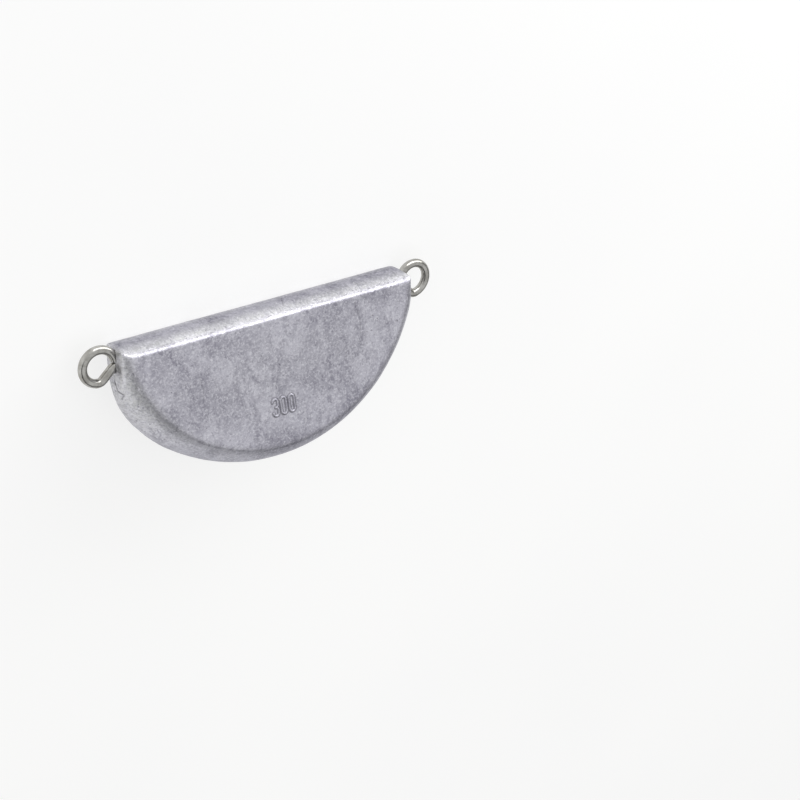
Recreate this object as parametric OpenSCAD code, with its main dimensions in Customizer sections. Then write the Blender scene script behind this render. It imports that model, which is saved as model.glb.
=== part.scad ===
// Half-moon lead sinker with a stainless wire cast through it, an eye at each end.
// It lies on its lower broad face. X runs along the straight edge, Y from the belly to it.

/* [Lead body] */
// Length from end to end, without the eyes
body_length = 72; // [62:0.2:80]
// Depth from the straight edge to the bottom of the belly, along the parting plane
body_depth = 34.8; // [31.6:0.2:36.4]
// Radius of the belly in plan
belly_radius = 41.4; // [40.4:0.2:45]
// Half thickness at the straight edge, from the parting plane to the line of the face
edge_half_thickness = 4.3; // [3.7:0.1:5]
// Angle of each broad face to the parting plane
face_angle = 11.8; // [9:0.2:13]
// Radius of the rounding where the belly meets a broad face
rim_radius = 2.5; // [1.8:0.1:3.2]
// Radius of the bulge down the belly wall
bulge_radius = 11.5; // [10:0.5:14]
// Height of the widest line of the belly above the face
widest_height = 9; // [8:0.1:9.4]

/* [Straight edge and ends] */
// Radius of the crown along the middle of the straight edge
crown_radius = 8; // [6:0.5:12]
// Radius between the crown and a broad face
crown_corner_radius = 1.2; // [0.8:0.1:2]
// Radius between an end and a broad face
end_rim_radius = 1.8; // [1.2:0.1:2.4]
// Radius of the corner between the straight edge and an end, seen on the broad face
tip_radius = 1.6; // [1.2:0.1:2.6]

/* [Wire and eyes] */
// Diameter of the wire
wire_diameter = 1.9; // [1.6:0.1:2.2]
// Radius of an eye, to the middle of the wire
eye_radius = 3.6; // [3.2:0.1:4.1]
// Distance from the end of the lead to the centre of an eye
eye_reach = 3.4; // [3.2:0.1:4.2]
// Distance from the straight edge to the centre of an eye
eye_drop = 3.6; // [3.4:0.1:4]
// Angle above the inward line at which the eye's curled end stops, half sunk in the lead
curl_angle = 10; // [6:1:20]
// Angle short of the eye's lowest point at which the wire kinks into the straight leg
kink_angle = 6; // [0:1:10]
// Radius of that kink, to the middle of the wire
kink_radius = 1.3; // [1.2:0.1:1.6]
// Slope of the leg, from the line of the shank
leg_angle = 42; // [36:1:48]
// Length of the leg
leg_length = 3.2; // [2.8:0.1:3.6]
// Radius of the bend from the leg into the shank, to the middle of the wire
bend_radius = 1.3; // [1.2:0.1:1.8]

/* [Weight number] */
// Height of the raised numerals
numeral_height = 4; // [3.6:0.1:4.6]
// Width of one numeral
numeral_width = 1.7; // [1.5:0.1:1.9]
// Width of a numeral's stroke
numeral_stroke = 0.4; // [0.3:0.05:0.5]
// Gap between numerals
numeral_gap = 0.35; // [0.25:0.05:0.8]
// How far the numerals stand out of the face
numeral_relief = 0.25; // [0.15:0.05:0.4]
// Distance of the numerals' middle from the straight edge, along the face
numeral_drop = 20.4; // [18:0.2:24]
// Distance of the numerals' middle from the sinker's middle, along the straight edge
numeral_shift = -1; // [-4:0.2:4]

/* [Hidden] */
// How far a cutting shape runs past what it cuts
overrun = 5;
// How deep the foot of a numeral goes into the lead
numeral_root = 1;
lead_colour = [0.62, 0.61, 0.66];
wire_colour = [0.70, 0.69, 0.66];

half_length = body_length / 2;
wire_radius = wire_diameter / 2;
// Height of the straight edge's top line above the lower face
apex_height = edge_half_thickness * cos(face_angle);

// A rim circle reaches a little under the face, so the face cuts it at a slight angle.
dip_share = 0.05;

// Belly wall: a large bulge circle, with a small rim circle that touches it from inside.
rim_height = rim_radius * (1 - dip_share);
bulge_centre = belly_radius - bulge_radius;
rim_centre = bulge_centre
    + sqrt(pow(bulge_radius - rim_radius, 2) - pow(widest_height - rim_height, 2));
touch_angle = atan2(rim_height - widest_height, rim_centre - bulge_centre);
touch_height = widest_height + bulge_radius * sin(touch_angle);
// Height of the parting plane above the lower face at the bottom of the belly
keel_height = apex_height + body_depth * sin(face_angle);
keel_inset = bulge_radius
    - sqrt(pow(bulge_radius, 2) - pow(keel_height - widest_height, 2));
// Distance from the apex line to the axis that the belly is turned about
belly_axis = belly_radius - keel_inset - body_depth * cos(face_angle);

// Ends: flat, with a rim circle at each broad face.
end_rim_height = end_rim_radius * (1 - dip_share);
end_rim_centre = half_length - end_rim_radius;

// Straight edge: a crown circle on the parting plane, with a corner circle on each side.
corner_distance = crown_radius - crown_corner_radius;
corner_sine = (apex_height - crown_corner_radius * (1 - dip_share)
    + crown_radius * sin(face_angle)) / corner_distance;
// Angle between the parting plane and the line from the crown's centre to the corner's
corner_angle = asin(corner_sine) - face_angle;
corner_centre = [
    corner_distance * cos(corner_angle) - crown_radius,
    corner_distance * sin(corner_angle)
];
face_up = [sin(face_angle), cos(face_angle)];
face_along = [-cos(face_angle), sin(face_angle)];
corner_top = corner_centre + crown_corner_radius * face_up;
bar_far = corner_top + (body_depth + overrun) * face_along;

// Wire: the eyes and the shank lie on the parting plane.
eye_centre = [half_length + eye_reach, -eye_drop];
kink_centre = eye_centre
    + (eye_radius - kink_radius) * [sin(kink_angle), -cos(kink_angle)];
// Across the leg, away from the eye, and along it towards the lead
leg_across = [-sin(leg_angle), -cos(leg_angle)];
leg_along = [-cos(leg_angle), sin(leg_angle)];
leg_start = kink_centre + kink_radius * leg_across;
bend_centre = leg_start + leg_length * leg_along + bend_radius * leg_across;
shank_level = bend_centre[1] + bend_radius;
// The leg and the eye's foot are thicker by this share, and the bends run into them.
swell_share = 0.03;
swell_turn = 8;
swollen_radius = wire_radius * (1 + swell_share);

// Reach of the whole sinker, from the belly to the outer rim of the eyes
reach_high = (eye_radius - eye_drop) * cos(face_angle) + wire_radius;
reach_low = belly_axis - belly_radius;
centre_shift = -(reach_high + reach_low) / 2;

// Numerals: each is made of rings with round ends, one for a nought and two for the three.
bowl_height = (numeral_height + numeral_stroke) / 2;
bowl_level = (numeral_height - numeral_stroke) / 4;
numeral_pitch = numeral_width + numeral_gap;
numeral_point = [0, edge_half_thickness] + numeral_drop * face_along;

// From the parting plane, with the apex line at the origin, to the sinker as it lies
module lay_down() {
    translate([0, centre_shift, apex_height]) {
        rotate([-face_angle, 0, 0]) {
            children();
        }
    }
}

// From the lower face, with the apex line above the origin, to the parting plane
module onto_parting() {
    rotate([face_angle, 0, 0]) {
        translate([0, 0, -apex_height]) {
            children();
        }
    }
}

// Outline of the belly wall: the rim circle up to where the circles touch, then the bulge
module belly_outline() {
    top = widest_height + bulge_radius;
    intersection() {
        translate([bulge_centre, widest_height]) {
            circle(r = bulge_radius, $fn = 96);
        }
        translate([bulge_centre, touch_height]) {
            square([bulge_radius + overrun, top + overrun]);
        }
    }
    intersection() {
        translate([rim_centre, rim_height]) {
            circle(r = rim_radius, $fn = 64);
        }
        translate([rim_centre, 0]) {
            square([rim_radius + overrun, touch_height]);
        }
    }
    square([rim_centre, touch_height]);
    translate([0, touch_height]) {
        square([bulge_centre, top - touch_height]);
    }
}

// Round form of the belly, standing on the lower face
module belly_form() {
    translate([0, belly_axis, 0]) {
        rotate_extrude($fn = 180) {
            belly_outline();
        }
    }
}

// Long form between the two flat ends, running on below the lower face
module end_form() {
    translate([0, overrun, 0]) {
        rotate([90, 0, 0]) {
            linear_extrude(body_depth + 2 * overrun) {
                for (side = [1, -1]) {
                    translate([side * end_rim_centre, end_rim_height]) {
                        circle(r = end_rim_radius, $fn = 64);
                    }
                }
                translate([-end_rim_centre, -overrun]) {
                    square([2 * end_rim_centre, overrun + end_rim_height]);
                }
                translate([-half_length, end_rim_height]) {
                    square([body_length, body_depth]);
                }
            }
        }
    }
}

// Section of the straight edge: crown, corners and the run of both faces
module edge_section() {
    intersection() {
        translate([-crown_radius, 0]) {
            circle(r = crown_radius, $fn = 96);
        }
        polygon([
            [-crown_radius, 0],
            [overrun, -(crown_radius + overrun) * tan(corner_angle)],
            [overrun, (crown_radius + overrun) * tan(corner_angle)]
        ]);
    }
    for (side = [1, -1]) {
        translate([corner_centre[0], side * corner_centre[1]]) {
            circle(r = crown_corner_radius, $fn = 64);
        }
    }
    polygon([
        [bar_far[0], -bar_far[1]],
        [corner_top[0], -corner_top[1]],
        [-crown_radius * dip_share, 0],
        [corner_top[0], corner_top[1]],
        [bar_far[0], bar_far[1]]
    ]);
}

module edge_form() {
    translate([-half_length - overrun, 0, 0]) {
        rotate([90, 0, 90]) {
            linear_extrude(body_length + 2 * overrun) {
                edge_section();
            }
        }
    }
}

// Upright form that rounds the two tips in plan
module tip_form() {
    translate([0, 0, -body_depth]) {
        linear_extrude(2 * body_depth) {
            for (side = [1, -1]) {
                translate([side * (half_length - tip_radius), -tip_radius]) {
                    circle(r = tip_radius, $fn = 64);
                }
            }
            translate([tip_radius - half_length, -body_depth - overrun]) {
                square([body_length - 2 * tip_radius, body_depth + overrun]);
            }
            translate([-half_length, -body_depth - overrun]) {
                square([body_length, body_depth + overrun - tip_radius]);
            }
        }
    }
}

// The casting's lower half, up to the parting plane
module lower_half() {
    intersection() {
        onto_parting() {
            belly_form();
        }
        onto_parting() {
            end_form();
        }
        edge_form();
        tip_form();
        translate([-half_length - overrun, -body_depth - overrun, -body_depth]) {
            cube([body_length + 2 * overrun, body_depth + 2 * overrun, body_depth]);
        }
    }
}

// The casting before the wire's channel and the numerals
module blank() {
    lower_half();
    mirror([0, 0, 1]) {
        lower_half();
    }
}

// A ring one stroke wide, with straight sides and round ends
module numeral_ring(height) {
    bend = numeral_width / 2;
    straight = height / 2 - bend;
    difference() {
        union() {
            for (side = [1, -1]) {
                translate([0, side * straight]) {
                    circle(r = bend, $fn = 48);
                }
            }
            square([numeral_width, 2 * straight], center = true);
        }
        for (side = [1, -1]) {
            translate([0, side * straight]) {
                circle(r = bend - numeral_stroke, $fn = 48);
            }
        }
        square([numeral_width - 2 * numeral_stroke, 2 * straight], center = true);
    }
}

// One bowl of the three, open towards the middle on its left
module bowl() {
    difference() {
        numeral_ring(bowl_height);
        polygon([
            [0, 0],
            [-2 * numeral_width, numeral_width],
            [-2 * numeral_width, -2 * numeral_width],
            [0, -2 * numeral_width]
        ]);
    }
}

module three() {
    for (side = [0, 1]) {
        mirror([0, side]) {
            translate([0, bowl_level]) {
                bowl();
            }
        }
    }
}

module numerals() {
    translate([numeral_shift, numeral_point[0], numeral_point[1]]) {
        rotate([-face_angle, 0, 0]) {
            translate([0, 0, -numeral_root]) {
                linear_extrude(numeral_root + numeral_relief) {
                    translate([-numeral_pitch, 0]) {
                        three();
                    }
                    numeral_ring(numeral_height);
                    translate([numeral_pitch, 0]) {
                        numeral_ring(numeral_height);
                    }
                }
            }
        }
    }
}

// A bend of the wire round a centre, from one angle on by another
module wire_bend(centre, radius, thickness, from, turn) {
    translate([centre[0], centre[1], 0]) {
        rotate([0, 0, from]) {
            rotate_extrude(angle = turn, $fn = 96) {
                translate([radius, 0]) {
                    circle(r = thickness, $fn = 32);
                }
            }
        }
    }
}

// The eye, from its foot at the kink round to its curled end
module eye_ring() {
    from = kink_angle - 90;
    turn = 270 - kink_angle - curl_angle;
    wire_bend(eye_centre, eye_radius, wire_radius, from + swell_turn / 2, turn - swell_turn / 2);
    wire_bend(eye_centre, eye_radius, swollen_radius, from, swell_turn);
}

// The straight leg between the eye and the shank
module leg() {
    translate([leg_start[0], leg_start[1], 0]) {
        rotate([0, 0, 180 - leg_angle]) {
            rotate([0, 90, 0]) {
                cylinder(r = swollen_radius, h = leg_length, $fn = 32);
            }
        }
    }
}

// One half of the wire: shank, bend, leg, kink and eye
module wire_half() {
    translate([bend_centre[0], shank_level, 0]) {
        rotate([0, -90, 0]) {
            cylinder(r = wire_radius, h = bend_centre[0], $fn = 32);
        }
    }
    wire_bend(bend_centre, bend_radius, wire_radius, 90 - leg_angle - swell_turn, leg_angle + swell_turn);
    leg();
    wire_bend(
        kink_centre, kink_radius, wire_radius,
        -90 - leg_angle - swell_turn, leg_angle + kink_angle + 2 * swell_turn
    );
    eye_ring();
}

module wire_shape() {
    wire_half();
    mirror([1, 0, 0]) {
        wire_half();
    }
}

module lead_body() {
    color(lead_colour) {
        lay_down() {
            difference() {
                union() {
                    blank();
                    numerals();
                }
                wire_shape();
            }
        }
    }
}

module through_wire() {
    color(wire_colour) {
        lay_down() {
            wire_shape();
        }
    }
}

lead_body();
through_wire();
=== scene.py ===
import math

import bmesh
import bpy
import numpy as np
from mathutils import Matrix, Vector, noise


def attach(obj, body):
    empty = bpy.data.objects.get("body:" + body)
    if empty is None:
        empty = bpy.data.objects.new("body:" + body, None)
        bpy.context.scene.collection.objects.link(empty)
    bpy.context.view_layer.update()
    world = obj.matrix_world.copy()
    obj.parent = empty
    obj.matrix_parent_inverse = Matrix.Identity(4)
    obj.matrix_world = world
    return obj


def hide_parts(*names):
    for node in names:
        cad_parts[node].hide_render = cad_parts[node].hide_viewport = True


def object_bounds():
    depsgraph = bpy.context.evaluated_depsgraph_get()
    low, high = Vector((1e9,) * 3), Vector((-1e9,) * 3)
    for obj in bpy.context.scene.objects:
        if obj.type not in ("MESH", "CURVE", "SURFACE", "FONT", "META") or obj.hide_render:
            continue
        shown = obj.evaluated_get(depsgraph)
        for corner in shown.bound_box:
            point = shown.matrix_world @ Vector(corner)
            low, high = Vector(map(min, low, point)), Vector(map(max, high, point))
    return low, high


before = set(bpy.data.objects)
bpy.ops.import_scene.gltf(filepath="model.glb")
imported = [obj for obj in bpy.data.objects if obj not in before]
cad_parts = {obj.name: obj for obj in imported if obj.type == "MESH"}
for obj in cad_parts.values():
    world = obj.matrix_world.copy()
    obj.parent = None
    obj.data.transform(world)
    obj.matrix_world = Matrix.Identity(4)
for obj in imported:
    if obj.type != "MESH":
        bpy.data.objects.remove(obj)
cad_box = [list(corner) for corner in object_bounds()]
MM = 0.001

# Sizes of the casting in millimetres, as in the part's source
BODY_LENGTH = 72.0
BODY_DEPTH = 34.8
BELLY_RADIUS = 41.4
EDGE_HALF = 4.3
FACE_ANGLE = math.radians(11.8)
RIM_RADIUS = 2.5
BULGE_RADIUS = 11.5
WIDEST = 9.0
CROWN_RADIUS = 8.0
CORNER_RADIUS = 1.2
END_RIM = 1.8
TIP_RADIUS = 1.6
WIRE_RADIUS = 0.95
# The left end draws in a little more towards the faces than the plain solid does. This
# shoulder fades out to the right, by so much per millimetre, from one place to the other.
SHOULDER_RADIUS = 39.6
SHOULDER_BULGE = 10.6
SHOULDER_AXIS = 3.2
SHOULDER_FADE = 0.3
FADE_START, FADE_LENGTH = -24, 20
# Cosines of the angles between the face's normal and those of the bulged wall and the crown
RIM_MEET = 0.73
CROWN_MEET = 0.69
# How widely one form runs into the next, in millimetres
SHOULDER_BLEND = 0.8
CROWN_BLEND = 0.3
WALL_BLEND = 0.6
RIM_BLEND = 0.8
# The two halves meet in a slightly blunt line on the parting plane
PARTING_BLUNT = 0.02
# Share of the crown's radius up to which its circle is followed
CROWN_SPAN = 0.75

SIN = math.sin(FACE_ANGLE)
COS = math.cos(FACE_ANGLE)
HALF = BODY_LENGTH / 2
APEX = EDGE_HALF * COS
BULGE_CENTRE = BELLY_RADIUS - BULGE_RADIUS
KEEL_HEIGHT = APEX + BODY_DEPTH * SIN
KEEL_INSET = BULGE_RADIUS - math.sqrt(BULGE_RADIUS**2 - (KEEL_HEIGHT - WIDEST) ** 2)
AXIS = BELLY_RADIUS - KEEL_INSET - BODY_DEPTH * COS
SHIFT = -(WIRE_RADIUS + AXIS - BELLY_RADIUS) / 2
LOW, HIGH = (np.array(c) / MM for c in cad_box)
# How far the visual model stays inside the CAD box
BOX_MARGIN = 0.004

# Numerals on the upper face, as in the part's source
NUM_HEIGHT, NUM_WIDTH, STROKE, GAP, RELIEF = 4.0, 1.7, 0.4, 0.35, 0.25
NUM_DROP, NUM_SHIFT = 20.4, -1.0
# Half width of a stroke's flat top, the width of its slope, and where its dark foot lies, which
# is oxide and painted shade
TOP_HALF, SLOPE = 0.10, 0.2
FOOT_AT, FOOT_WIDTH = 0.33, 0.13
# Numerals are made only where a point is this close to the plane of the upper face
FACE_REACH = 1.2

# Slow waves of the cast surface: height, waves per millimetre and seed
WAVES = [(0.09, 0.055, 1), (0.05, 0.16, 2), (0.022, 0.5, 3)]
WAVE_DROP = 0.07
# The broad faces sink a little where the thick middle shrank
SINK = 0.12
SINK_AT, SINK_LENGTH, SINK_WIDTH = 15, 21, 9
SINK_EDGE = 1.5
# Flash where the two halves of the mould met, higher near the eyes
FLASH, FLASH_AT_EYE, FLASH_REACH = 0.04, 0.11, 9
FLASH_HALF, FLASH_WANDER = 0.16, 0.08
# Ragged collar of lead round the wire
COLLAR, COLLAR_RADIUS, COLLAR_HALF = 0.16, 1.15, 0.3
# Pits, in the mould's frame, with their radius and depth
PITS = [
    ((-35.6, -4.2, 3.85), 0.26, 0.16),
    ((-35.1, -5.0, 4.3), 0.30, 0.18),
    ((-35.3, -5.6, 4.15), 0.24, 0.15),
    ((-35.9, -6.5, 2.75), 0.22, 0.12),
    ((-33.7, -8.2, 5.0), 0.32, 0.18),
    ((-35.3, -9.1, 3.8), 0.24, 0.12),
    ((-35.9, -8.8, 1.7), 0.22, 0.12),
    ((-33.4, -13.2, -1.6), 0.55, 0.26),
    ((-34.8, -4.6, -2.2), 0.5, 0.25),
    ((-29.8, -18.6, 2.9), 0.4, 0.2),
    ((-24.5, -24.4, 3.6), 0.4, 0.2),
    ((-19.0, -28.2, -3.0), 0.5, 0.24),
    ((34.3, -9.3, 0.9), 0.55, 0.3),
    ((32.6, -13.6, 2.1), 0.35, 0.2),
    ((21.4, -27.2, 1.2), 0.4, 0.2),
    ((4.2, -34.4, 2.8), 0.4, 0.2),
    ((-8.8, -34.0, -1.8), 0.45, 0.22),
]
# Creases where the lead froze in two runs: points along them, half width and depth
CREASES = [
    ([(-36.0, -6.6, -0.3), (-36.0, -8.2, 0.1), (-36.0, -9.5, 0.7)], 0.13, 0.20),
    ([(-36.0, -9.6, 0.85), (-35.85, -9.8, 1.9), (-35.6, -9.9, 2.9)], 0.13, 0.18),
    ([(-35.6, -9.9, 2.9), (-35.75, -11.1, 1.9)], 0.14, 0.09),
    ([(5.2, -0.1, -1.4), (3.9, -0.2, 1.0), (3.4, -0.4, 2.5)], 0.10, 0.04),
    ([(20.0, -3.0, 4.9), (20.9, -6.9, 5.7), (20.5, -9.8, 6.3)], 0.11, 0.05),
    ([(-19.9, -9.1, 6.2), (-19.4, -12.1, 6.8), (-19.9, -14.2, 7.3)], 0.12, 0.05),
    ([(9.0, -6.4, 5.6), (8.2, -7.9, 5.9)], 0.11, 0.04),
    ([(-2.0, -22.0, -8.9), (4.0, -23.1, -9.1), (8.5, -22.4, -9.0)], 0.13, 0.06),
    ([(36.0, -7.6, 0.3), (35.9, -10.0, -0.8), (35.3, -11.6, -2.2)], 0.13, 0.14),
]
# Depth from which a crease is fully dark
DARK_DEPTH = 0.1
# Where the wire goes into the lead, along and across: the leg, and the curled end of the
# eye. The last value is how tall the wire's section is there, as a share of its width.
ENTRIES = [((36.0, -4.75), 1.0), ((36.0, -2.1), 1.15)]
ENTRY_HALF_DEPTH = 0.6
ENTRY_SOFT = 0.22
FAR = 99.0

GRID_QUICK, GRID = 0.3, 0.22
# Steps that settle the plain grid, and then the refined one
PLAIN_STEPS, FINE_STEPS = 4, 5
# Half the distance over which a slope is measured, and the least slope that counts
SLOPE_STEP, LEAST_SLOPE = 0.02, 0.3

# Masks: how far the face's reaches down the rim, and where the crown's begins
FACE_FADE = 1.2
CROWN_START, CROWN_FADE = 2.2, 1.2
# Painted shade along the crown's middle over this half width, and a painted highlight of the
# wall's tone towards the faces, over this width and by this share
CROWN_DARK_HALF, CROWN_PALE_FADE, CROWN_PAINTED_HIGHLIGHT = 0.6, 2.6, 0.95
BELLY_START, BELLY_FADE, BELLY_SHARE = 12, 12, 0.75

# Colours of the lead: oxide on the faces and on the walls, each from dark to light
FACE_DARK, FACE_LIGHT = (0.28, 0.27, 0.33), (0.55, 0.54, 0.605)
WALL_DARK, WALL_LIGHT = (0.58, 0.58, 0.58), (0.74, 0.74, 0.735)
# Painted shade laid over the middle of the crown
CROWN_PAINTED_SHADE = (0.76, 0.76, 0.765)
BLOOM = (0.68, 0.67, 0.73)
OXIDE = (0.24, 0.23, 0.285)
STREAK = (0.36, 0.365, 0.39)
FROST = (0.84, 0.835, 0.88)
DARK_GRAIN = (0.20, 0.19, 0.235)
SPARK = (0.95, 0.95, 0.97)
SPECK = (0.16, 0.155, 0.19)
SCRATCH = (0.36, 0.35, 0.40)
# Dark oxide in creases and pits, and painted shade round the wire and at the numerals' foot
GRIME_AND_SHADE = (0.10, 0.095, 0.11)
LEAD_EDGE = (0.66, 0.66, 0.69)
# One broad dark patch and one pale patch on the upper face: centre and radii
DARK_PATCH = (-1, -10, 20), (17, 8, 9)
PALE_PATCH = (-20, -3, 19), (10, 8, 9)
# Scratches: turn and place of each set of fine lines
SCRATCHES = ((0.5, 3.0), (-0.7, 11.0), (1.3, 23.0))
# Colours of the wire, from dark to light
WIRE_DARK, WIRE_LIGHT = (0.36, 0.35, 0.325), (0.52, 0.51, 0.485)
WIRE_GRIME = (0.24, 0.23, 0.215)
WIRE_EDGE = (0.9, 0.9, 0.9)

FLOOR_DARK, FLOOR_LIGHT = (0.34, 0.34, 0.34), (0.36, 0.36, 0.355)
FLOOR_GLOW, GLOW_COLOUR = 0.69, (1.0, 1.0, 0.995, 1.0)
FLOOR_HALF = 4.0
# The lamp: its direction from the object, its distance and size in metres, its radiance
LAMP_WAY = (0.545, 0.82, 0.17)
LAMP_DISTANCE = 0.34
LAMP_SIZE = (0.5, 0.24)
LAMP_RADIANCE = 2.5
WORLD_COLOUR = (0.985, 0.99, 1.0, 1.0)
# The camera: lens and sensor in millimetres, place in millimetres, directions
LENS, SENSOR = 81.0, 36.0
CAMERA_PLACE = (-188.608, 224.604, 259.861)
CAMERA_FORWARD = (0.54519, -0.58225, -0.60312)
CAMERA_UP = (0.26044, 0.80149, -0.53832)


def to_mould(p):
    """From the lying frame to the mould's: z from the parting plane, y from the apex line."""
    q = p - np.array([0, SHIFT, APEX])
    return np.stack([q[:, 0], q[:, 1] * COS - q[:, 2] * SIN, q[:, 1] * SIN + q[:, 2] * COS], 1)


def to_lying(m):
    y = m[:, 1] * COS + m[:, 2] * SIN + SHIFT
    z = -m[:, 1] * SIN + m[:, 2] * COS + APEX
    return np.stack([m[:, 0], y, z], 1)


def soft_max(a, b, width):
    """The larger of two distances, with the step between them smoothed over a width."""
    h = np.maximum(width - np.abs(a - b), 0) / width
    return np.maximum(a, b) + h * h * width / 4


def round_max(a, b, radius, meet=0.0):
    """The larger of two distances, with the edge between them rounded to a radius.

    meet is the cosine of the angle between the two surfaces' normals.
    """
    p, q = a + radius, b + radius
    curve = np.sqrt(np.maximum(p * p + q * q - 2 * p * q * meet, 0) / (1 - meet**2)) - radius
    return np.where((p > q * meet) & (q > p * meet) & (p + q > 0), curve, np.maximum(a, b))


def casting(m):
    """Signed distance, in millimetres, to the plain casting, for points of the mould's frame."""
    x, y, w = np.abs(m[:, 0]), m[:, 1], np.sqrt(m[:, 2] ** 2 + PARTING_BLUNT)
    across = y * COS - w * SIN
    height = -y * SIN - w * COS + APEX
    r = np.hypot(x, across - AXIS)
    bulge = np.hypot(np.maximum(r - BULGE_CENTRE, 0), height - WIDEST) - BULGE_RADIUS
    r = np.maximum(np.hypot(x, across - SHOULDER_AXIS) - SHOULDER_RADIUS + SHOULDER_BULGE, 0)
    shoulder = np.hypot(r, height - WIDEST) - SHOULDER_BULGE
    shoulder -= SHOULDER_FADE * np.clip(m[:, 0] - FADE_START, 0, FADE_LENGTH)
    bulge = soft_max(bulge, shoulder, SHOULDER_BLEND)
    end = x - HALF
    chord = np.minimum(w, CROWN_SPAN * CROWN_RADIUS)
    crown = y + CROWN_RADIUS - np.sqrt(CROWN_RADIUS**2 - chord**2)
    near = np.exp(np.clip(np.stack([bulge, end, crown]), -40, 5) / RIM_BLEND)
    near /= near.sum(0)
    radius = near.T @ np.array([RIM_RADIUS, END_RIM, CORNER_RADIUS])
    meet = near.T @ np.array([RIM_MEET, 0.0, CROWN_MEET])
    ends = soft_max(crown, round_max(end, y, TIP_RADIUS), CROWN_BLEND)
    return round_max(soft_max(bulge, ends, WALL_BLEND), -height, radius, meet)


def noise_at(p, per_mm, seed):
    offset = Vector((seed * 17.3, seed * 7.1, seed * 3.7))
    return np.array([noise.noise(Vector(q) * per_mm + offset) for q in p.tolist()])


def stroke_distance(u, v):
    """Distance from points of the face's plane to the centre lines of the numerals' strokes."""
    bend = (NUM_WIDTH - STROKE) / 2
    best = np.full(len(u), FAR)
    straight = (NUM_HEIGHT + STROKE) / 4 - NUM_WIDTH / 2
    for side in (1, -1):
        du, dv = u + NUM_WIDTH + GAP, v * side - (NUM_HEIGHT - STROKE) / 4
        ring = np.abs(np.hypot(du, np.maximum(np.abs(dv) - straight, 0)) - bend)
        ends = [(0.0, -straight - bend), (-bend, bend / 2)]
        cap = np.minimum(*[np.hypot(du - a, dv - b) for a, b in ends])
        best = np.minimum(best, np.where((du < 0) & (dv < -du / 2), cap, ring))
    straight = (NUM_HEIGHT - NUM_WIDTH) / 2
    for centre in (0, NUM_WIDTH + GAP):
        du, dv = u - centre, np.maximum(np.abs(v) - straight, 0)
        best = np.minimum(best, np.abs(np.hypot(du, dv) - bend))
    return best


def face_plane(m):
    """Place on the upper face: right along the straight edge, and up towards it."""
    drop = (m[:, 1] * -COS) + (m[:, 2] - EDGE_HALF) * SIN
    return m[:, 0] - NUM_SHIFT, NUM_DROP - drop


def above_face(m):
    return m[:, 1] * SIN + (m[:, 2] - EDGE_HALF) * COS


def numerals(m):
    """How far the numerals stand out of the upper face."""
    d = stroke_distance(*face_plane(m))
    t = np.clip((d - TOP_HALF) / SLOPE, 0, 1)
    return np.where(np.abs(above_face(m)) < FACE_REACH, RELIEF * (1 - t * t * (3 - 2 * t)), 0)


def pit_distance(m, place, radius):
    return np.linalg.norm(m - np.array(place), axis=1) / radius


def crease_distance(m, points, half_width):
    best = np.full(len(m), FAR)
    for a, b in zip(np.array(points[:-1]), np.array(points[1:])):
        along = np.clip(((m - a) @ (b - a)) / ((b - a) @ (b - a)), 0, 1)
        best = np.minimum(best, np.linalg.norm(m - a - along[:, None] * (b - a), axis=1))
    return best / half_width


def entry_distance(m):
    """Distance from the wire's middle line, where it goes into the lead."""
    best = np.full(len(m), FAR)
    for (x, y), tall in ENTRIES:
        across = np.hypot((m[:, 1] - y) / tall, m[:, 2])
        along = np.maximum(np.abs(np.abs(m[:, 0]) - x) - ENTRY_HALF_DEPTH, 0)
        best = np.minimum(best, np.hypot(across, along))
    return best


def marks(m):
    """How strongly a crease or pit, the wire's entry and the numerals' foot lie at points. The
    entry's darkness is painted shade, the foot's is oxide and painted shade.
    """
    crack = np.zeros(len(m))
    for points, wide, deep in CREASES:
        d = crease_distance(m, points, wide)
        crack = np.maximum(crack, np.exp(-(d**2) / 1.6) * min(1.0, deep / DARK_DEPTH))
    for place, radius, _ in PITS:
        d = pit_distance(m, place, radius)
        crack = np.maximum(crack, 0.8 * np.exp(-2.2 * d**2))
    # Painted shade round the wire where it goes into the lead, and oxide with painted shade at
    # the numerals' foot
    entry = np.exp(-((np.maximum(entry_distance(m) - WIRE_RADIUS, 0) / ENTRY_SOFT) ** 2))
    foot = np.exp(-(((stroke_distance(*face_plane(m)) - FOOT_AT) / FOOT_WIDTH) ** 2))
    return crack, entry, foot * (np.abs(above_face(m)) < FACE_REACH)


def flaws(m):
    """How far the real surface lies outside the plain casting."""
    out = sum(high * noise_at(m, per_mm, seed) for high, per_mm, seed in WAVES) - WAVE_DROP
    side = np.where(m[:, 2] > 0, 1.0, -1.0)
    depth = -(m[:, 1] * SIN + (side * m[:, 2] - EDGE_HALF) * COS)
    on_face = np.clip(1 - np.abs(depth) / SINK_EDGE, 0, 1)
    middle = np.exp(-((m[:, 0] / SINK_LENGTH) ** 2) - (((m[:, 1] + SINK_AT) / SINK_WIDTH) ** 2))
    out -= SINK * on_face * middle
    ragged = np.clip(0.55 + 0.9 * noise_at(m, 0.3, 4) + 0.35 * noise_at(m, 1.3, 5), 0, 1.3)
    near_eye = np.exp(-(((HALF - np.abs(m[:, 0])) / FLASH_REACH) ** 2))
    height = (FLASH + FLASH_AT_EYE * near_eye) * ragged
    wander = FLASH_WANDER * noise_at(m, 0.2, 6)
    out += height * np.exp(-(((m[:, 2] - wander) / FLASH_HALF) ** 2))
    ragged = np.clip(0.5 + 0.9 * noise_at(m, 0.9, 7), 0, 1.2)
    around = (entry_distance(m) - COLLAR_RADIUS) / COLLAR_HALF
    out += COLLAR * ragged * np.exp(-(around**2))
    for place, radius, deep in PITS:
        out -= deep * np.exp(-(pit_distance(m, place, radius) ** 2))
    for points, wide, deep in CREASES:
        d = crease_distance(m, points, wide)
        out -= deep * np.exp(-(d**2)) * np.clip(0.8 + noise_at(m, 1.5, 8), 0.3, 1.2)
    return out


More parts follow.
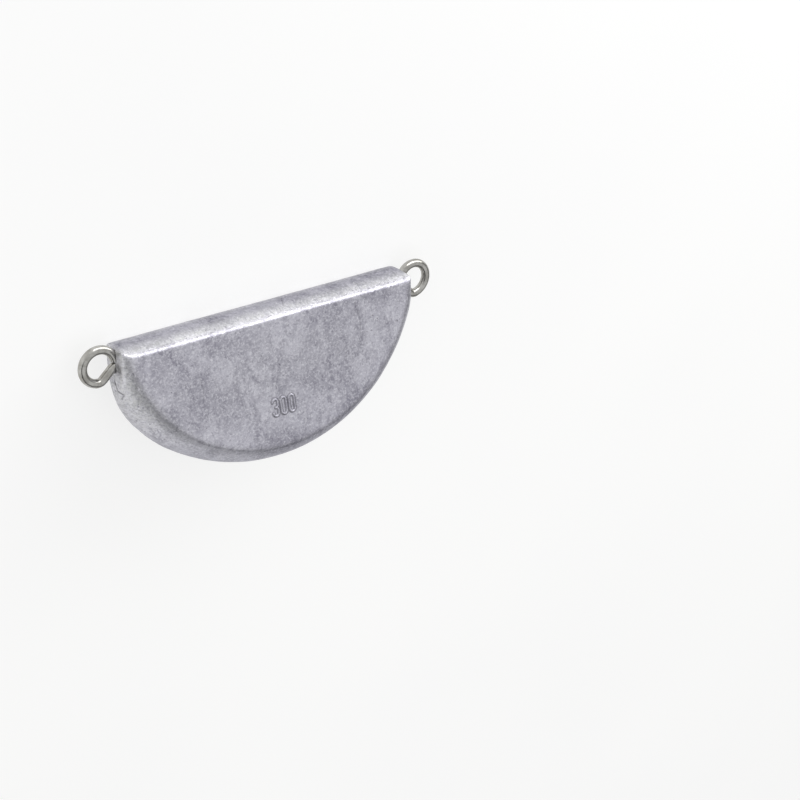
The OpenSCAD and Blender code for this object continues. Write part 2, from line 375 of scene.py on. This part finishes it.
def settle(points, steps, detail):
    """Moves points, in millimetres, onto the surface of the real casting."""
    p = points.copy()
    extra = None
    for step in range(steps):
        m = to_mould(p)
        f = casting(m)
        sides = SLOPE_STEP * np.eye(3)
        grad = np.stack([casting(m + side) - casting(m - side) for side in sides], 1)
        grad /= 2 * SLOPE_STEP
        size = np.maximum(np.linalg.norm(grad, axis=1, keepdims=True), LEAST_SLOPE)
        if detail and (extra is None or step == steps - 2):
            extra = flaws(m) + numerals(m)
        goal = f if extra is None else f - extra
        m = m - grad / size * (goal / size[:, 0])[:, None]
        p = to_lying(m)
    return np.clip(p, LOW + BOX_MARGIN, HIGH - BOX_MARGIN)


def vertex_array(mesh):
    out = np.empty(len(mesh.vertices) * 3)
    mesh.vertices.foreach_get("co", out)
    return out.reshape(-1, 3)


def refine(bm, wanted, times):
    """Halves the edges around the vertices that wanted picks, the given number of times."""
    for _ in range(times):
        bm.verts.ensure_lookup_table()
        co = np.array([v.co[:] for v in bm.verts]) / MM
        pick = wanted(to_mould(co))
        edges = [e for e in bm.edges if pick[e.verts[0].index] or pick[e.verts[1].index]]
        bmesh.ops.subdivide_edges(bm, edges=edges, cuts=1, use_grid_fill=True)
        bm.verts.index_update()


def at_numerals(m):
    return (np.abs(above_face(m)) < 0.6) & (stroke_distance(*face_plane(m)) < 0.6)


def at_seam(m):
    return (np.abs(m[:, 2]) < 0.45) & (np.abs(casting(m)) < 0.6)


def at_marks(m):
    near = (entry_distance(m) < 1.9) & (entry_distance(m) > 0.7)
    for place, radius, _ in PITS:
        near |= pit_distance(m, place, radius) < 1.7
    for points, wide, _ in CREASES:
        near |= crease_distance(m, points, wide) < 2.6
    return near


def paint_layer(mesh, name, values):
    """Keeps three values for each vertex in a colour attribute, for the material."""
    layer = mesh.color_attributes.new(name, "FLOAT_COLOR", "POINT")
    layer.data.foreach_set("color", np.stack([*values, np.ones(len(values[0]))], 1).ravel())


def make_casting():
    # The casting is convex, so the hull of its solid is the same form without the wire's channel
    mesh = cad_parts["lead_body"].data.copy()
    bm = bmesh.new()
    bm.from_mesh(mesh)
    hull = bmesh.ops.convex_hull(bm, input=bm.verts[:])
    kept = {g for g in hull["geom"] if isinstance(g, bmesh.types.BMFace)}
    bmesh.ops.delete(bm, geom=[f for f in bm.faces if f not in kept], context="FACES")
    bm.to_mesh(mesh)
    bm.free()
    piece = bpy.data.objects.new("lead_casting", mesh)
    bpy.context.scene.collection.objects.link(piece)
    remesh = piece.modifiers.new("even_grid", "REMESH")
    remesh.mode = "VOXEL"
    remesh.voxel_size = GRID * MM
    graph = bpy.context.evaluated_depsgraph_get()
    grid = bpy.data.meshes.new_from_object(piece.evaluated_get(graph))
    piece.modifiers.clear()
    piece.data = grid
    bpy.data.meshes.remove(mesh)

    co = settle(vertex_array(grid) / MM, PLAIN_STEPS, False)
    grid.vertices.foreach_set("co", (co * MM).ravel())
    bm = bmesh.new()
    bm.from_mesh(grid)
    refine(bm, at_numerals, 2)
    refine(bm, at_seam, 1)
    refine(bm, at_marks, 1)
    bm.to_mesh(grid)
    bm.free()
    co = settle(vertex_array(grid) / MM, FINE_STEPS, True)
    grid.vertices.foreach_set("co", (co * MM).ravel())
    grid.polygons.foreach_set("use_smooth", [True] * len(grid.polygons))

    # Masks for the material, from where each vertex lies on the casting
    m = to_mould(co)
    w = np.abs(m[:, 2])
    depth = -(m[:, 1] * SIN + (w - EDGE_HALF) * COS)
    face = np.clip(1 - depth / FACE_FADE, 0, 1)
    crown = np.clip((m[:, 1] + CROWN_START) / CROWN_FADE, 0, 1)
    crown *= np.clip((HALF - np.abs(m[:, 0])) / CROWN_FADE, 0, 1)
    # The wall's pale tone fades out towards the belly, so it is palest at the ends
    belly = np.clip((-m[:, 1] - BELLY_START) / BELLY_FADE, 0, 1)
    wall = (1 - crown) * (1 - face) * (1 - BELLY_SHARE * belly)
    # The crown is painted darkest along its middle, as painted shade, and pale towards the
    # faces, as a painted highlight
    away = np.clip((w - CROWN_DARK_HALF) / CROWN_PALE_FADE, 0, 1)
    wall += CROWN_PAINTED_HIGHLIGHT * crown * (1 - face) * away
    crown *= (1 - face) * (1 - away)
    paint_layer(grid, "zones", (face, wall, crown))
    paint_layer(grid, "marks", marks(m))
    grid.materials.clear()
    grid.update()
    return piece


class Maker:
    """Short ways to add and join the nodes of one shader tree."""

    def __init__(self, tree):
        self.tree = tree
        tree.nodes.clear()

    def add(self, kind, **values):
        n = self.tree.nodes.new(kind)
        n.location = ((len(self.tree.nodes) % 12) * 180, -(len(self.tree.nodes) // 12) * 220)
        for key, value in values.items():
            if key in n.inputs:
                n.inputs[key].default_value = value
            else:
                setattr(n, key, value)
        return n

    def link(self, a, b):
        self.tree.links.new(a, b)

    def put(self, target, value):
        if isinstance(value, bpy.types.NodeSocket):
            self.link(value, target)
        else:
            target.default_value = value

    def math(self, op, a, b=0.0, clamp=False):
        n = self.add("ShaderNodeMath", operation=op, use_clamp=clamp)
        self.put(n.inputs[0], a)
        self.put(n.inputs[1], b)
        return n.outputs[0]

    def mapped(self, coords, **values):
        """Coordinates that are scaled, then turned, then moved."""
        n = self.add("ShaderNodeMapping", vector_type="POINT", **values)
        self.link(coords, n.inputs["Vector"])
        return n.outputs[0]

    def millimetres(self):
        """The object's own coordinates, in millimetres."""
        return self.mapped(self.add("ShaderNodeTexCoord").outputs["Object"], Scale=(1 / MM,) * 3)

    def patch(self, coords, centre, radii):
        """A soft spot: 1 around its centre and 0 from its radii on."""
        ball = self.add("ShaderNodeTexGradient", gradient_type="QUADRATIC_SPHERE")
        scale = [1 / r for r in radii]
        place = [-c / r for c, r in zip(centre, radii)]
        self.link(self.mapped(coords, Scale=scale, Location=place), ball.inputs["Vector"])
        return self.ramp(ball.outputs["Fac"], 0.0, 0.5)

    def noise(self, coords, scale, detail=2.0, rough=0.5, distortion=0.0):
        n = self.add("ShaderNodeTexNoise", Scale=scale, Detail=detail, Roughness=rough)
        n.inputs["Distortion"].default_value = distortion
        self.link(coords, n.inputs["Vector"])
        return n.outputs["Fac"]

    def ramp(self, value, low, high, to_low=0.0, to_high=1.0):
        """A smooth step from one value to another, between two inputs."""
        n = self.add("ShaderNodeMapRange", clamp=True, interpolation_type="SMOOTHSTEP")
        self.link(value, n.inputs["Value"])
        limits = {"From Min": low, "From Max": high, "To Min": to_low, "To Max": to_high}
        for name, limit in limits.items():
            n.inputs[name].default_value = limit
        return n.outputs[0]

    def mix(self, factor, a, b, blend="MIX"):
        n = self.add("ShaderNodeMix", data_type="RGBA", blend_type=blend)
        self.put(n.inputs[0], factor)
        for socket, value in ((n.inputs[6], a), (n.inputs[7], b)):
            self.put(socket, value if isinstance(value, bpy.types.NodeSocket) else (*value, 1.0))
        return n.outputs[2]

    def tint(self, tone, colour, amount, mask):
        """Lays a colour over a tone, by this amount where the mask is 1."""
        return self.mix(self.math("MULTIPLY", mask, amount), tone, colour)

    def layer(self, name):
        """The three values of a colour attribute."""
        zones = self.add("ShaderNodeVertexColor", layer_name=name)
        split = self.add("ShaderNodeSeparateColor")
        self.link(zones.outputs["Color"], split.inputs[0])
        return split.outputs[0], split.outputs[1], split.outputs[2]

    def bump(self, height, distance, after=None):
        n = self.add("ShaderNodeBump", Distance=distance, Strength=1.0)
        self.link(height, n.inputs["Height"])
        if after is not None:
            self.link(after, n.inputs["Normal"])
        return n.outputs[0]

    def output(self, shader, kind="ShaderNodeOutputMaterial"):
        self.link(shader.outputs[0], self.add(kind).inputs[0])

    def metal(self, tone, rough, normal, edge):
        shader = self.add("ShaderNodeBsdfPrincipled", Metallic=1.0)
        shader.inputs["Specular Tint"].default_value = (*edge, 1.0)
        self.link(tone, shader.inputs["Base Color"])
        self.link(rough, shader.inputs["Roughness"])
        self.link(normal, shader.inputs["Normal"])
        self.output(shader)


def new_material(name):
    mat = bpy.data.materials.new(name)
    mat.use_nodes = True
    return mat, Maker(mat.node_tree)


def lead_material():
    mat, k = new_material("cast_lead")
    place = k.millimetres()
    face, wall, crown = k.layer("zones")
    crack, entry, foot = k.layer("marks")

    # Oxide: broad cloudy patches, and smaller blotches inside them
    drift = k.mapped(place, Scale=(1.0, 0.55, 0.8))
    cloud = k.ramp(k.noise(drift, 0.16, detail=4.0, rough=0.62, distortion=0.8), 0.36, 0.64)
    blotch = k.ramp(k.noise(place, 0.8, detail=5.0, rough=0.65, distortion=0.4), 0.34, 0.68)
    tone = k.mix(cloud, FACE_DARK, FACE_LIGHT)
    # On the crown towards the faces the wall's tone is a painted highlight, and the crown's
    # middle is darkened as painted shade
    tone = k.mix(wall, tone, k.mix(cloud, WALL_DARK, WALL_LIGHT))
    tone = k.mix(crown, tone, CROWN_PAINTED_SHADE, "MULTIPLY")
    tone = k.tint(tone, BLOOM, 0.5, blotch)
    stain = k.ramp(k.noise(place, 0.30, detail=4.0, rough=0.6, distortion=1.0), 0.57, 0.72)
    tone = k.tint(tone, OXIDE, 0.6, stain)
    tone = k.tint(tone, OXIDE, 0.38, k.patch(place, *DARK_PATCH))
    tone = k.tint(tone, BLOOM, 0.4, k.patch(place, *PALE_PATCH))
    # The wall and the crown keep the mould's fine upright marks
    lie = k.mapped(place, Rotation=(FACE_ANGLE, 0, 0))
    streak = k.noise(k.mapped(lie, Scale=(2.4, 2.4, 0.16)), 1.0, detail=3.0, rough=0.6)
    side = k.math("SUBTRACT", 1.0, face, clamp=True)
    streaks = k.math("MULTIPLY", k.ramp(streak, 0.42, 0.68), side)
    tone = k.tint(tone, STREAK, 0.55, streaks)
    # Grain and sparkle of the frozen crystals, calmer on the crown
    grain = k.noise(place, 1.9, detail=3.0, rough=0.75)
    frost = k.math("SUBTRACT", 0.60, k.math("MULTIPLY", crown, 0.3))
    tone = k.tint(tone, FROST, frost, k.ramp(grain, 0.44, 0.68))
    dark_grain = k.ramp(k.noise(place, 1.6, detail=4.0, rough=0.7), 0.52, 0.72)
    calm = k.math("SUBTRACT", 0.65, k.math("MULTIPLY", crown, 0.4))
    tone = k.tint(tone, DARK_GRAIN, calm, dark_grain)
    cells = k.add("ShaderNodeTexVoronoi", feature="F1", Scale=1.15)
    k.link(place, cells.inputs["Vector"])
    pick = k.add("ShaderNodeSeparateColor")
    k.link(cells.outputs["Color"], pick.inputs[0])
    near = k.ramp(cells.outputs["Distance"], 0.08, 0.28, 1.0, 0.0)
    spark = k.math("MULTIPLY", k.math("GREATER_THAN", pick.outputs[0], 0.84), near)
    spark = k.math("MULTIPLY", spark, k.ramp(blotch, 0.2, 0.8, 0.15, 1.0))
    tone = k.tint(tone, SPARK, 0.6, spark)
    speck = k.math("MULTIPLY", k.math("GREATER_THAN", pick.outputs[1], 0.88), near)
    speck = k.math("MULTIPLY", speck, k.ramp(k.noise(place, 0.22), 0.45, 0.62))
    tone = k.tint(tone, SPECK, 0.7, speck)
    # Fine short scratches from handling
    lines = []
    for turn, seed in SCRATCHES:
        way = k.mapped(
            place, Location=(seed,) * 3, Rotation=(0.3, 0.2, turn), Scale=(0.22, 5.0, 5.0)
        )
        lines.append(k.ramp(k.noise(way, 1.0, detail=1.0, rough=0.4), 0.69, 0.75))
    scratch = k.math("MAXIMUM", k.math("MAXIMUM", lines[0], lines[1]), lines[2])
    tone = k.tint(tone, SCRATCH, 0.25, scratch)
    # Dark oxide in creases and pits, painted shade round the wire where it goes into the lead,
    # and oxide and painted shade at the numerals' foot
    dark = k.math("MAXIMUM", k.math("MULTIPLY", crack, 0.9), k.math("MULTIPLY", entry, 0.75))
    dark = k.math("MAXIMUM", dark, k.math("MULTIPLY", foot, 0.6))
    tone = k.mix(dark, tone, GRIME_AND_SHADE)

    rough = k.ramp(blotch, 0.0, 1.0, 0.38, 0.30)
    rough = k.math("ADD", rough, k.math("MULTIPLY", grain, 0.12))
    rough = k.math("ADD", rough, k.math("MULTIPLY", crown, 0.17))
    rough = k.math("SUBTRACT", rough, k.math("MULTIPLY", spark, 0.14))
    rough = k.math("ADD", rough, k.math("MULTIPLY", dark, 0.2))

    # Bumps, from broad to fine, with their heights in metres
    normal = k.bump(k.noise(place, 0.45, detail=4.0, rough=0.6), 0.00010)
    normal = k.bump(grain, 0.00006, normal)
    normal = k.bump(streaks, 0.00002, normal)
    fine = k.math("SUBTRACT", k.math("MULTIPLY", spark, 0.5), speck)
    k.metal(tone, rough, k.bump(fine, 0.00004, normal), LEAD_EDGE)
    return mat


def wire_material():
    mat, k = new_material("stainless_wire")
    place = k.millimetres()
    cloud = k.ramp(k.noise(place, 0.6, detail=3.0, rough=0.55), 0.35, 0.7)
    grime = k.ramp(k.noise(place, 1.1, detail=4.0, rough=0.6), 0.54, 0.74)
    tone = k.tint(k.mix(cloud, WIRE_DARK, WIRE_LIGHT), WIRE_GRIME, 0.45, grime)
    fine = k.noise(place, 4.0, detail=2.0, rough=0.6)
    rough = k.math("ADD", k.ramp(fine, 0.3, 0.7, 0.13, 0.19), k.math("MULTIPLY", grime, 0.12))
    normal = k.bump(k.noise(place, 0.9, detail=2.0, rough=0.5), 0.00004)
    k.metal(tone, rough, k.bump(fine, 0.000006, normal), WIRE_EDGE)
    return mat


def floor_material():
    """A pale floor that keeps the object's shadow and shows as white to the camera."""
    mat, k = new_material("pale_floor")
    place = k.add("ShaderNodeTexCoord").outputs["Object"]
    cloud = k.ramp(k.noise(place, 6.0, detail=2.0, rough=0.5), 0.3, 0.7)
    plain = k.add("ShaderNodeBsdfDiffuse")
    k.link(k.mix(cloud, FLOOR_DARK, FLOOR_LIGHT), plain.inputs["Color"])
    glow = k.add("ShaderNodeEmission", Color=GLOW_COLOUR)
    rays = k.add("ShaderNodeLightPath")
    seen = k.math("ADD", rays.outputs["Is Camera Ray"], rays.outputs["Is Glossy Ray"])
    seen = k.math("ADD", seen, rays.outputs["Is Transmission Ray"], clamp=True)
    k.link(k.math("MULTIPLY", seen, FLOOR_GLOW), glow.inputs["Strength"])
    both = k.add("ShaderNodeAddShader")
    k.link(plain.outputs[0], both.inputs[0])
    k.link(glow.outputs[0], both.inputs[1])
    k.output(both)
    return mat


def make_floor():
    mesh = bpy.data.meshes.new("floor")
    bm = bmesh.new()
    bmesh.ops.create_grid(bm, x_segments=8, y_segments=8, size=FLOOR_HALF)
    bm.to_mesh(mesh)
    bm.free()
    floor = bpy.data.objects.new("floor", mesh)
    bpy.context.scene.collection.objects.link(floor)
    mesh.materials.append(floor_material())


def make_lamp():
    """One soft lamp beyond the straight edge, which gives the crown its bright band."""
    lamp = bpy.data.lights.new("band_box", "AREA")
    lamp.shape = "RECTANGLE"
    lamp.size, lamp.size_y = LAMP_SIZE
    lamp.energy = LAMP_RADIANCE * math.pi * LAMP_SIZE[0] * LAMP_SIZE[1]
    obj = bpy.data.objects.new("band_box", lamp)
    towards = Vector(LAMP_WAY).normalized()
    obj.location = towards * LAMP_DISTANCE
    obj.rotation_euler = towards.to_track_quat("Z", "Y").to_euler()
    bpy.context.scene.collection.objects.link(obj)


def make_world():
    """A pale room that is a little dimmer overhead, with a dark band at mid height."""
    world = bpy.data.worlds.new("studio")
    bpy.context.scene.world = world
    world.use_nodes = True
    k = Maker(world.node_tree)
    split = k.add("ShaderNodeSeparateXYZ")
    k.link(k.add("ShaderNodeTexCoord").outputs["Generated"], split.inputs[0])
    x, y, z = split.outputs
    level = k.ramp(z, 0.0, 0.85, 1.0, 0.78)
    # Between the white table and the light overhead the room is dark, but for the lamp's side
    low = k.math("ADD", z, k.math("MULTIPLY", x, 0.34))
    high = k.math("ADD", z, k.math("MULTIPLY", x, 0.17))
    band = k.math("MULTIPLY", k.ramp(low, 0.24, 0.44), k.ramp(high, 0.66, 0.84, 1.0, 0.0))
    band = k.math("MULTIPLY", band, k.ramp(y, 0.15, 0.55, 1.0, 0.0))
    depth = k.math("SUBTRACT", 0.80, k.math("MULTIPLY", x, 0.20))
    level = k.math("MULTIPLY", level, k.math("SUBTRACT", 1.0, k.math("MULTIPLY", band, depth)))
    back = k.add("ShaderNodeBackground", Color=WORLD_COLOUR)
    k.link(level, back.inputs["Strength"])
    k.output(back, "ShaderNodeOutputWorld")


def make_camera():
    data = bpy.data.cameras.new("camera")
    data.sensor_width = SENSOR
    data.lens = LENS
    data.clip_start = 0.01
    data.clip_end = 20.0
    camera = bpy.data.objects.new("camera", data)
    bpy.context.scene.collection.objects.link(camera)
    forward = Vector(CAMERA_FORWARD).normalized()
    right = forward.cross(Vector(CAMERA_UP)).normalized()
    up = right.cross(forward)
    turn = Matrix((right, up, -forward)).transposed().to_4x4()
    camera.matrix_world = Matrix.Translation(Vector(CAMERA_PLACE) * MM) @ turn
    bpy.context.scene.camera = camera


make_camera()
make_floor()
make_lamp()
make_world()

lead = make_casting()
lead.data.materials.append(lead_material())
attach(lead, "root")
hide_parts("lead_body")

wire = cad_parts["through_wire"]
wire.data.materials.clear()
wire.data.materials.append(wire_material())

bpy.context.scene.view_settings.view_transform = "Standard"
